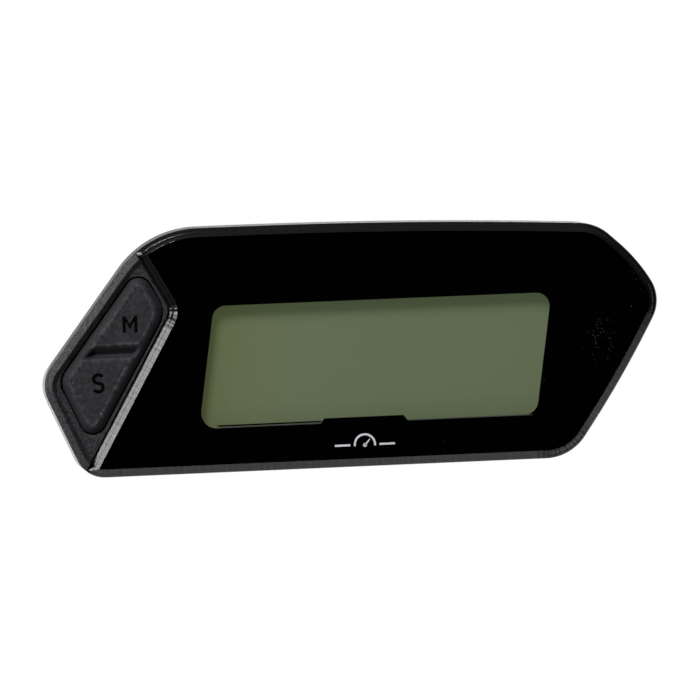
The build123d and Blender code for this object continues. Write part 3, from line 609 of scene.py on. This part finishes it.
MATERIALS = {
    "case": case_plastic(),
    "case_side_painted_sheen": case_side_painted_sheen(),
    "rubber": key_rubber(),
    "lens": lens_front(),
    "lens_edge": lens_bevel(),
    "mask": mask_print(),
    "lcd": lcd_tint(),
    "tape": plain("adhesive_tape", dark=(0.008, 0.008, 0.008), light=(0.016, 0.016, 0.016),
                  rough=(0.7, 0.85), scale=1200),
    "nylon": plain("black_nylon", dark=(0.014, 0.014, 0.015), light=(0.026, 0.026, 0.028),
                   rough=(0.38, 0.52), scale=1800, bump=0.00004),
    "plunger": plain("switch_plunger", dark=(0.42, 0.36, 0.28), light=(0.5, 0.44, 0.36),
                     rough=(0.35, 0.5), scale=900),
    "foam": plain("gasket_foam", dark=(0.008, 0.008, 0.009), light=(0.02, 0.02, 0.02),
                  rough=(0.85, 0.95), scale=3200, bump=0.0001, strength=0.8),
    "white": plain("white_film", dark=(0.68, 0.68, 0.66), light=(0.8, 0.8, 0.79),
                   rough=(0.4, 0.55), scale=900),
    "led": plain("led_package", dark=(0.82, 0.78, 0.45), light=(0.9, 0.88, 0.62),
                 rough=(0.25, 0.35), scale=1500),
    "zebra": plain("zebra_rubber", dark=(0.05, 0.05, 0.055), light=(0.32, 0.32, 0.34),
                   rough=(0.6, 0.7), scale=2500, stretch=(1, 0.02, 0.02)),
    "board": board_material(),
    "chip": plain("chip_epoxy", dark=(0.012, 0.012, 0.013), light=(0.022, 0.022, 0.024),
                  rough=(0.45, 0.6), scale=2400, bump=0.00003),
    "cap": plain("capacitor_case", dark=(0.50, 0.29, 0.05), light=(0.62, 0.38, 0.08),
                 rough=(0.4, 0.5), scale=1200),
    "can": plain("crystal_can", dark=(0.52, 0.52, 0.5), light=(0.66, 0.66, 0.64),
                 rough=(0.22, 0.34), scale=900, metallic=1.0),
    "screw": plain("screw_steel", dark=(0.10, 0.10, 0.105), light=(0.19, 0.19, 0.2),
                   rough=(0.28, 0.45), scale=2200, metallic=1.0, bump=0.00003),
    "seal": plain("seal_rubber", dark=(0.010, 0.010, 0.010), light=(0.018, 0.018, 0.018),
                  rough=(0.6, 0.72), scale=1500),
    "brass": plain("turned_brass", dark=(0.50, 0.34, 0.12), light=(0.72, 0.52, 0.22),
                   rough=(0.2, 0.36), scale=1500, metallic=1.0, stretch=(1, 8, 1)),
    "pin": plain("tinned_pin", dark=(0.60, 0.58, 0.54), light=(0.76, 0.74, 0.70),
                 rough=(0.18, 0.3), scale=1500, metallic=1.0),
    "glass": clear_material("lcd_glass", color=(0.90, 0.95, 0.92), solid=0.12, rough=0.05),
    "guide": clear_material("light_guide_acrylic", color=(0.86, 0.90, 0.88), solid=0.5,
                            rough=0.2),
    "legend": plain("key_legend_ink", dark=(0.0002, 0.0002, 0.0003),
                    light=(0.0012, 0.0012, 0.0014), rough=(0.6, 0.75), scale=2600, spec=0.02),
    "mark": plain("panel_mark_ink", dark=(0.52, 0.52, 0.56), light=(0.64, 0.64, 0.68),
                  rough=(0.45, 0.55), scale=1500),
    # painted highlight: grey for the edge of the display frame catching light
    "frame_highlight": plain("frame_edge_painted_highlight", dark=(0.018, 0.018, 0.018), light=(0.045, 0.045, 0.042),
                 rough=(0.5, 0.65), scale=900),
}

CAD_MATERIALS = {
    "lens_mask": "mask", "lens_tape": "tape", "keypad_mat": "rubber",
    "keypad_retainer": "nylon", "mode_switch_body": "nylon", "set_switch_body": "nylon",
    "mode_switch_plunger": "plunger", "set_switch_plunger": "plunger", "lcd_gasket": "foam",
    "front_polariser": "lcd", "rear_polariser": "lcd", "lcd_front_glass": "glass",
    "lcd_rear_glass": "glass", "diffuser_film": "white", "reflector_film": "white",
    "vent_membrane": "white", "lcd_holder": "white", "light_guide": "guide",
    "backlight_leds": "led", "zebra_strip_top": "zebra", "zebra_strip_bottom": "zebra",
    "main_board": "board", "microcontroller": "chip", "bus_transceiver": "chip",
    "voltage_regulator": "chip", "power_inductor": "chip", "bulk_capacitors": "cap",
    "crystal": "can", "board_screws": "screw", "housing_seal": "seal",
    "connector_seal": "seal", "front_housing": "case", "rear_cover": "case",
    "vent_plug": "case", "cover_lens": "lens", "mode_key": "rubber", "set_key": "rubber",
    "case_screws": "screw", "threaded_inserts": "brass", "connector_shell": "nylon",
    "connector_pins": "pin",
}
for node_name, material_key in CAD_MATERIALS.items():
    NODES[node_name].data.materials.clear()
    NODES[node_name].data.materials.append(MATERIALS[material_key])

# ---------------------------------------------------------------- cover lens
# (inset, y) of each ring, back to front
LENS_LEVELS = [(0.16, -19.45), (0.0, -19.60), (0.0, -19.90), (0.07, -20.02), (0.96, -20.91),
               (1.02, -20.93), (1.08, -21.03), (1.97, -21.92), (2.05, -21.98), (2.09, FRONT_Y)]
EDGE_BANDS = range(1, 8)    # bands between rings that have the machined finish
BEVEL_DEPTH = 2.05          # around the outline
SEAM_BEVEL_DEPTH = 1.65     # beside the keys
SEAM_SHIFT_Y = -19.8        # rings in front of this are shifted beside the keys
SEAM_SHIFT_FADE = 0.5       # distance from the seam ends over which the shift fades in
SEAM_SPLIT_Z = 5.0          # the upper run of the seam is used above this
SEAM_ARC_STEPS = 24


def seam_samples(upper_normal, lower_normal):
    """Points of the seam from top to bottom, each with its normal into the lens."""
    middle = unit(upper_normal + lower_normal)
    half = math.acos(float(SEAM_UPPER @ SEAM_LOWER)) / 2
    tangent = SEAM_RADIUS * math.tan(half)
    centre = SEAM_CORNER - middle * (SEAM_RADIUS / math.cos(half))
    arc_start = SEAM_CORNER - SEAM_UPPER * tangent
    arc_end = SEAM_CORNER + SEAM_LOWER * tangent
    first, last = angle_of(upper_normal), angle_of(lower_normal)
    samples = [(arc_start - SEAM_UPPER * s, upper_normal) for s in np.arange(20.0, 0.2, -0.8)]
    for k in range(SEAM_ARC_STEPS + 1):
        normal = direction(first + (last - first) * k / SEAM_ARC_STEPS)
        samples.append((centre + SEAM_RADIUS * normal, normal))
    return samples + [(arc_end + SEAM_LOWER * s, lower_normal) for s in np.arange(0.8, 48.0, 0.8)]


def lens_rings():
    """Rings of the lens: along the outline from the bottom corner to the top corner, then back
    along the seam. Every ring has the same count."""
    outline, normals = rounded(OUTLINE, OUTLINE_RADII, inset=0.0, arc_deg=2.0, step=1.0)
    upper_normal, lower_normal = left_of(SEAM_UPPER), left_of(SEAM_LOWER)

    def seam_side(point):
        """Distance from the seam, positive on the lens side."""
        normal = upper_normal if point[1] > SEAM_SPLIT_Z else lower_normal
        return (point - SEAM_CORNER) @ normal

    def edge_distance(point):
        return float(np.min(((point[None] - outline) * normals).sum(1)))

    side = np.array([seam_side(p) for p in outline])
    start = next(i for i in range(len(outline)) if side[i - 1] < 0 <= side[i])
    outline, normals = np.roll(outline, -start, 0), np.roll(normals, -start, 0)
    side = np.roll(side, -start)
    count = next(i for i in range(len(outline)) if side[i] < 0)
    seam = seam_samples(upper_normal, lower_normal)

    rings = []
    for inset, y in LENS_LEVELS:
        moved = outline + normals * inset
        side = np.array([seam_side(p) for p in moved]) - inset

        def crossing(i, j):
            return moved[i] + (moved[j] - moved[i]) * (side[i] / (side[i] - side[j]))

        first = 0
        while side[first] < 0:
            first += 1
        last = count - 1
        while side[last] < 0:
            last -= 1
        bottom, top = crossing(first - 1, first), crossing(last, last + 1)
        points = [bottom]
        points += [bottom if k < first else top if k > last else moved[k] for k in range(count)]
        points.append(top)
        seam_start = len(points)
        for point, normal in seam:
            point_in = point + normal * inset
            if edge_distance(point_in) < inset:
                point_in = top if point[1] > SEAM_SPLIT_Z else bottom
            points.append(point_in)

        # beside the keys the edge starts further forward, so it stands clear of the panel
        ys = np.full(len(points), float(y))
        if y < SEAM_SHIFT_Y:
            seam_y = (FRONT_Y + SEAM_BEVEL_DEPTH
                      + (y - (FRONT_Y + BEVEL_DEPTH)) * SEAM_BEVEL_DEPTH / BEVEL_DEPTH)
            ends = np.array([top, bottom])
            for k in range(seam_start, len(points)):
                to_end = np.linalg.norm(ends - points[k], axis=1).min()
                ys[k] += (seam_y - y) * smooth(to_end, 0.0, SEAM_SHIFT_FADE)
        rings.append((np.array(points), ys))
    return rings


def turn_share(points):
    """How far the edge counts as turning: 1 at the seam bend, 0.5 at two right-hand corners."""
    def distance(place):
        return np.linalg.norm(points - place, axis=1)

    turn = np.clip((4.2 - distance(SEAM_CORNER - np.array([3.0, 0.0]))) / 1.0, 0.0, 1.0)
    for corner in (OUTLINE[2], OUTLINE[0]):
        near = np.clip((9.0 - distance(np.array(corner))) / 2.0, 0.0, 1.0)
        turn = np.maximum(turn, 0.5 * near)
    return turn


def build_lens():
    rings = lens_rings()
    back = rings[0][0]
    run = np.concatenate([[0], np.cumsum(np.linalg.norm(np.diff(back, axis=0), axis=1))])
    lens = ring_mesh("cover_lens_plate", rings, [MATERIALS["lens"], MATERIALS["lens_edge"]],
                     second_bands=EDGE_BANDS, run=run,
                     across=[inset for inset, _ in LENS_LEVELS], turn=turn_share(back))
    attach(lens, "case")
    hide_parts("cover_lens")


build_lens()

# ---------------------------------------------------------------- case shells
soften("front_housing", MATERIALS["case"], width=0.13)
soften("vent_plug", MATERIALS["case"], width=0.08)
soften("connector_shell", MATERIALS["nylon"], width=0.12)
soften("case_screws", MATERIALS["screw"], width=0.06, angle=40)
soften("threaded_inserts", MATERIALS["brass"], width=0.06, angle=40)

# (inset, y) of the flare, front to back, with a groove in the middle
FLARE_LEVELS = [(0.25, -17.6), (0.05, -17.4), (-0.11, -14.3), (-0.29, -11.15), (-0.17, -11.08),
                (-0.17, -10.92), (-0.31, -10.85), (-0.39, -9.4), (-0.33, -8.9), (0.25, -8.7)]
FLARE_INNER_INSET = 0.45    # the way back runs inside the wall


def build_flare():
    """Slight flare of the case side at the left tip and along the lower left edge."""
    def outline_at(inset):
        return rounded(OUTLINE, OUTLINE_RADII, inset=inset, arc_deg=2.0, step=0.8)[0]

    outline = outline_at(0.0)
    leftward, downward = -outline[:, 0], -outline[:, 1]
    share = smooth(leftward, 57.5, 63.0) * smooth(downward, -2.5, 6.0)
    share = share * (1.0 + 0.6 * smooth(downward, 4.0, 11.0))
    (root_inset, front_y), (_, back_y) = FLARE_LEVELS[0], FLARE_LEVELS[-1]
    root = outline_at(root_inset)
    rings = [(root + (outline_at(inset) - root) * share[:, None], y)
             for inset, y in FLARE_LEVELS]
    inner = outline_at(FLARE_INNER_INSET)
    rings += [(inner, back_y), (inner, front_y), rings[0]]
    flare = ring_mesh("case_side_flare", rings[::-1], [MATERIALS["case_side_painted_sheen"]], capped=False)
    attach(flare, "case")


build_flare()

# ---------------------------------------------------------------- rubber keys
KEY_SHOULDER_Y = -20.45     # where the rounded shoulder starts
KEY_RISE = 0.9              # from there to the flat top
KEY_TOP_Y = KEY_SHOULDER_Y - KEY_RISE
SHOULDER_WIDTH = 1.85
SHOULDER_POWER = 1.75
TROUGH_LIP = 1.75           # upper lip of the trough, above the split
TROUGH_DEPTH = 1.3
TROUGH_FALL = 2.2           # downward from the lip to the deepest line
TROUGH_END = 3.3            # downward from the lip to the lower end
LOWEST_RISE = -0.4
RIDGE_HEIGHT = 0.05         # raised edge of the flat top
KEY_INSETS = [0.0, 0.06, 0.14, 0.24, 0.36, 0.5, 0.65, 0.8, 0.95, 1.1, 1.22, 1.34, 1.46, 1.58,
              1.68, 1.76, 1.84, 1.92, 2.0, 2.1, 2.22, 2.4]
# (radius, y) of the stem that presses the switch, back to front
STEM_PROFILE = [(0.0, -15.25), (2.7, -15.25), (2.92, -15.32), (3.0, -15.5), (3.0, -19.15),
                (3.5, -19.4), (3.5, -20.2), (0.0, -20.2)]
STEM_SEGMENTS = 40

KEY_RIM, _ = rounded(KEYPAD, KEYPAD_RADII, inset=KEY_GAP, arc_deg=3.0, step=0.3)


def rim_distance(points):
    run = np.roll(KEY_RIM, -1, 0) - KEY_RIM
    t = ((points[:, None] - KEY_RIM[None]) * run[None]).sum(2) / (run ** 2).sum(1)[None]
    nearest = KEY_RIM[None] + run[None] * np.clip(t, 0, 1)[..., None]
    return np.sqrt(((nearest - points[:, None]) ** 2).sum(2)).min(1)


def key_surface(points):
    """Front y of the rubber at the points: a rounded shoulder, a flat top with a fine raised
    edge, and a trough between the two keys that stops short of the shoulder."""
    from_rim = rim_distance(points)
    from_split = np.abs(points[:, 1] - KEY_SPLIT_Z)
    shoulder = np.clip(1 - from_rim / SHOULDER_WIDTH, 0, 1) ** SHOULDER_POWER
    rise = KEY_RISE * (1 - shoulder)

    below_lip = KEY_SPLIT_Z + TROUGH_LIP - points[:, 1]
    fall = (0.5 * np.clip(below_lip / TROUGH_FALL, 0.0, 1.0)
            + 0.5 * smooth(below_lip, 0.0, TROUGH_FALL))
    trough = (TROUGH_DEPTH * fall * (1 - smooth(below_lip, TROUGH_FALL, TROUGH_END))
              * smooth(from_rim, 1.0, 1.8))
    # the trough also ends before the left edge of the panel
    panel, normals = edge_normals(KEYPAD)
    trough = trough * smooth((points - panel[0]) @ normals[0], 2.0, 3.2)

    rim_bell = np.exp(-((np.minimum(from_rim - 1.9, 1.0)) / 0.25) ** 2)
    split_bell = np.exp(-((from_split - 1.8) / 0.2) ** 2)
    ridge = RIDGE_HEIGHT * np.maximum(rim_bell * smooth(from_split, 1.3, 1.75),
                                      split_bell * smooth(from_rim, 1.5, 2.0))
    return KEY_SHOULDER_Y - np.maximum(rise - trough, LOWEST_RISE) - ridge


def build_key_skin(key, polygon, radii):
    """Visible rubber of a key."""
    def outline_at(inset):
        return rounded(polygon, radii, inset=inset, arc_deg=5.0, step=0.5)[0]

    rings = [(outline_at(0.12), -19.2), (outline_at(0.0), -19.32)]
    for inset in KEY_INSETS:
        points = outline_at(inset)
        rings.append((points, key_surface(points)))
    skin = ring_mesh(key + "_rubber", rings, [MATERIALS["rubber"]],
                     across=[0.0, 0.0] + KEY_INSETS, smooth_angle=50.0)
    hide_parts(key)
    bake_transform(skin)


def build_key_stem(key, centre):
    bm = bmesh.new()
    turns = [2 * math.pi * k / STEM_SEGMENTS for k in range(STEM_SEGMENTS)]
    rows = []
    for radius, y in STEM_PROFILE:
        around = turns if radius else turns[:1]
        rows.append([add_vert(bm, centre + radius * direction(a), y) for a in around])
    for row, next_row in zip(rows, rows[1:]):
        for k in range(STEM_SEGMENTS):
            j = (k + 1) % STEM_SEGMENTS
            if len(row) == 1:
                bm.faces.new((row[0], next_row[k], next_row[j]))
            elif len(next_row) == 1:
                bm.faces.new((row[k], next_row[0], row[j]))
            else:
                bm.faces.new((row[k], next_row[k], next_row[j], row[j]))
    stem = make_object(key + "_stem", finish_mesh(bm, key + "_stem"), [MATERIALS["rubber"]])
    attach(stem, key)


def split_point(start, end):
    """Where the line from start to end meets the split between the keys."""
    t = (KEY_SPLIT_Z - start[1]) / (end[1] - start[1])
    return (start[0] + (end[0] - start[0]) * t, KEY_SPLIT_Z)


def build_keys():
    left_cut = split_point(KEYPAD[0], KEYPAD[1])
    right_cut = split_point(KEYPAD[2], KEYPAD[3])
    top, left, bottom, right = [radius - KEY_GAP for radius in KEYPAD_RADII]
    mode_outline = shifted([KEYPAD[0], left_cut, right_cut, KEYPAD[3]],
                           [KEY_GAP, 0.0, KEY_GAP, KEY_GAP])
    build_key_skin("mode_key", mode_outline, [top, 0, 0, right])
    build_key_stem("mode_key", centre=np.array([-50.0, 8.9]))
    set_outline = shifted([left_cut, KEYPAD[1], KEYPAD[2], right_cut],
                          [KEY_GAP, KEY_GAP, KEY_GAP, 0.0])
    build_key_skin("set_key", set_outline, [0, left, bottom, 0])
    build_key_stem("set_key", centre=np.array([-59.6, -5.6]))


build_keys()

# ---------------------------------------------------------------- printed legends and marks
LEGEND_BACK_Y = KEY_TOP_Y + 0.02
LEGEND_FRONT_Y = KEY_TOP_Y - 0.025
LEGEND_STROKE = 0.74
PRINT_BACK_Y = -19.405      # prints behind the lens
FRAME_FRONT_Y = -19.43
MARK_FRONT_Y = -19.44


def plate(name, polygons, back_y, front_y, material, body, bevel=0.012):
    """Thin printed shapes, drawn as one mesh, with a bevelled front edge."""
    bm = bmesh.new()
    for polygon in polygons:
        following = [*polygon[1:], polygon[0]]
        if sum(a[0] * b[1] - b[0] * a[1] for a, b in zip(polygon, following)) < 0:
            polygon = polygon[::-1]
        points, normals = edge_normals(polygon)
        inner = []
        for i, point in enumerate(points):
            before, after = normals[i - 1], normals[i]
            inner.append(point + bevel / max(0.35, 1 + before @ after) * (before + after))
        rows = [[add_vert(bm, p, y) for p in ring] for ring, y in
                ((points, back_y), (points, front_y + bevel), (inner, front_y))]
        for row, next_row in zip(rows, rows[1:]):
            bridge(bm, row, next_row)
        bm.faces.new(rows[0][::-1])
        bm.faces.new(rows[-1])
    obj = make_object(name, finish_mesh(bm, name), [material], weighted=False)
    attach(obj, body)


def letter_m():
    """Outline of the letter on the upper key."""
    x, z, width, height = -50.42, 8.02, 3.4, 3.8
    left, right, low, high = x - width / 2, x + width / 2, z - height / 2, z + height / 2
    notch_half, notch_rise = 0.16, 0.95     # bottom of the middle point
    shoulder, valley = 0.7, 1.95            # top width of each leg, height of the top valley
    leg_drop = 1.25                         # from the top to where the inner strokes leave
    inner_left, inner_right = left + LEGEND_STROKE, right - LEGEND_STROKE
    return [(left, low), (inner_left, low), (inner_left, high - leg_drop),
            (x - notch_half, low + notch_rise), (x + notch_half, low + notch_rise),
            (inner_right, high - leg_drop), (inner_right, low), (right, low), (right, high),
            (right - shoulder, high), (x, low + valley), (left + shoulder, high), (left, high)]


def letter_s():
    """Outline of the letter on the lower key, from an upper and a lower bowl."""
    x, z, width, height = -58.22, -5.25, 2.2, 3.95
    bowl = height / 4
    upper = (x + 0.05, z + bowl, width / 2, bowl)
    lower = (x - 0.02, z - bowl, width / 2, bowl)
    path = arc_path(*upper, start=28, end=180, steps=14)
    path += arc_path(*upper, start=184, end=262, steps=7)[:-1]
    path += arc_path(*lower, start=82, end=0, steps=7)
    path += arc_path(*lower, start=-4, end=-152, steps=14)
    return stroke(path, LEGEND_STROKE)


def dial_mark():
    """Generic dial pictogram between two short bars."""
    x, z = 2.9, -21.35
    dial_radius, stroke_width = 2.35, 0.46
    hub_z, hub_radius = z - 1.05, 0.46
    bar_near, bar_far, bar_low, bar_high = 3.4, 7.0, z - 1.2, z - 0.72
    dial = stroke(arc_path(x, z - 0.9, dial_radius, dial_radius, start=-8, end=188, steps=30),
                  stroke_width)
    needle = [(x - 0.28, z - 1.05), (x + 0.18, z - 1.25), (x + 1.28, z + 0.28),
              (x + 1.12, z + 0.38)]
    hub = arc_path(x, hub_z, hub_radius, hub_radius, start=0, end=345, steps=23)
    bars = [[(start, bar_low), (end, bar_low), (end, bar_high), (start, bar_high)]
            for start, end in ((x - bar_far, x - bar_near), (x + bar_near, x + bar_far))]
    return [dial, needle, hub] + bars


plate("mode_key_legend", [letter_m()], LEGEND_BACK_Y, LEGEND_FRONT_Y, MATERIALS["legend"],
      "mode_key")
plate("set_key_legend", [letter_s()], LEGEND_BACK_Y, LEGEND_FRONT_Y, MATERIALS["legend"],
      "set_key")

# painted highlight: light strips for the edge of the display frame catching light, seen through the
# window just above the print, with a painted shadow strip over it
PAINTED_SHADOW_STRIP = [(-31.4, -16.68), (-7.15, -16.68), (-6.9, -16.30), (-30.8, -16.30)]
PAINTED_HIGHLIGHT_STRIPS = [[(-30.6, -17.02), (-7.35, -17.02), (-7.15, -16.76), (-30.3, -16.76)],
        [(13.25, -17.16), (42.2, -17.16), (42.4, -16.94), (13.05, -16.94)]]
# painted shadow: a black strip where the gap above the frame lies in shade
plate("display_frame_painted_shadow", [PAINTED_SHADOW_STRIP], PRINT_BACK_Y, FRAME_FRONT_Y, MATERIALS["mask"], "case",
      bevel=0.006)
plate("display_frame_painted_highlight", PAINTED_HIGHLIGHT_STRIPS, PRINT_BACK_Y, FRAME_FRONT_Y, MATERIALS["frame_highlight"], "case",
      bevel=0.006)
plate("panel_mark", dial_mark(), PRINT_BACK_Y, MARK_FRONT_Y, MATERIALS["mark"], "case",
      bevel=0.008)


# ---------------------------------------------------------------- floor, world, lights (metres)
def stage_material():
    """White floor for the camera, fading to plain white away from the product; other rays
    pass through it."""
    m = new_material("stage_floor")
    base = m.ramp(m.noise(scale=3.0, detail=2.0),
                  [(0.3, (0.90, 0.90, 0.90)), (0.7, (0.94, 0.94, 0.94))])
    away = m.length(m.coord.outputs["Object"])
    white = m.add("ShaderNodeEmission", {"Color": (1, 1, 1), "Strength": 1.0}).outputs[0]
    surface = m.mix_shader(m.remap(away, to=(0.8, 1.0), over=(0.05, 0.35)),
                           m.principled(base, rough=0.9, spec=0.0), white)
    camera_ray = m.add("ShaderNodeLightPath").outputs["Is Camera Ray"]
    return m.done(m.mix_shader(m.math("SUBTRACT", 1.0, camera_ray), surface,
                               m.bsdf("Transparent")))


def build_floor():
    bm = bmesh.new()
    bmesh.ops.create_grid(bm, x_segments=8, y_segments=8, size=2.6)
    mesh = bpy.data.meshes.new("studio_floor")
    bm.to_mesh(mesh)
    bm.free()
    floor = link_object("studio_floor", mesh)
    floor.location = (0, 0, -0.11)
    mesh.materials.append(stage_material())


def build_world():
    """White for the camera; other rays see soft lights placed by their direction."""
    world = bpy.data.worlds.new("studio")
    SCENE.world = world
    w = Shader(world, "ShaderNodeOutputWorld")
    x, y, z = w.xyz("Generated")

    def fade(value, over, to=(0.0, 1.0)):
        return w.remap(value, to=to, over=over, interpolation="SMOOTHSTEP")

    forward = w.math("MULTIPLY", y, -1.0)
    down = w.math("MULTIPLY", z, -1.0)
    top = w.math("MULTIPLY", fade(z, over=(0.7, 0.95)), 0.11)
    # low light, away from the far left and from the front
    low = w.math("MULTIPLY", fade(down, over=(0.3, 0.62)), fade(x, over=(-0.7, -0.3)),
                 fade(forward, over=(0.35, 0.75), to=(1.0, 0.0)), 0.8)
    ahead = w.math("ADD", top, low, fade(forward, over=(0.6, 0.88), to=(0.05, 0.004)))
    behind = fade(y, over=(0.26, 0.56))
    level = w.math("ADD", w.math("MULTIPLY", ahead, w.math("SUBTRACT", 1.0, behind)),
                   w.math("MULTIPLY", behind, 1.4))
    camera_ray = w.add("ShaderNodeLightPath").outputs["Is Camera Ray"]
    unseen = w.math("MULTIPLY", level, w.math("SUBTRACT", 1.0, camera_ray))
    w.done(w.add("ShaderNodeBackground", {
        "Color": (1, 1, 1), "Strength": w.math("ADD", unseen, camera_ray)}).outputs[0])


def softbox(name, place, width, height, power, color=(1, 1, 1)):
    """Rectangular light aimed at the origin."""
    data = bpy.data.lights.new(name, "AREA")
    data.shape = "RECTANGLE"
    data.size = width
    data.size_y = height
    data.energy = power
    data.color = color
    light = link_object(name, data)
    light.location = place
    light.rotation_euler = (-Vector(place)).to_track_quat("-Z", "Y").to_euler()


build_floor()
build_world()
softbox("edge_left", place=(-1.20, -0.36, 0.30), width=0.52, height=1.16, power=15.0,
        color=(1.0, 0.965, 0.99))
softbox("front_top", place=(-0.42, -0.82, 0.93), width=0.5, height=0.5, power=24)
softbox("rear_wash", place=(0.5, 1.3, 0.8), width=0.9, height=0.9, power=10)

# ---------------------------------------------------------------- camera
CAMERA_AZIMUTH = math.radians(-5.0)     # negative is to the left of the front
CAMERA_ELEVATION = math.radians(4.0)
CAMERA_ROLL = math.radians(2.1)
CAMERA_DISTANCE = 0.85                  # metres from the front face


def build_camera():
    data = bpy.data.cameras.new("photo_view")
    data.sensor_fit = "HORIZONTAL"
    data.sensor_width = 36.0
    data.lens = 189.42
    data.clip_start = 0.01
    data.clip_end = 50
    camera = link_object("photo_view", data)
    back = Vector((math.sin(CAMERA_AZIMUTH) * math.cos(CAMERA_ELEVATION),
                   -math.cos(CAMERA_AZIMUTH) * math.cos(CAMERA_ELEVATION),
                   math.sin(CAMERA_ELEVATION)))
    level_right = Vector((math.cos(CAMERA_AZIMUTH), math.sin(CAMERA_AZIMUTH), 0))
    level_up = level_right.cross(-back)
    up = level_up * math.cos(CAMERA_ROLL) + level_right * math.sin(CAMERA_ROLL)
    right = level_right * math.cos(CAMERA_ROLL) - level_up * math.sin(CAMERA_ROLL)
    rotation = Matrix((right, up, back)).transposed().to_4x4()
    place = Vector((0, FRONT_Y * MM, 0)) + back * CAMERA_DISTANCE
    camera.matrix_world = Matrix.Translation(place) @ rotation
    SCENE.camera = camera


build_camera()
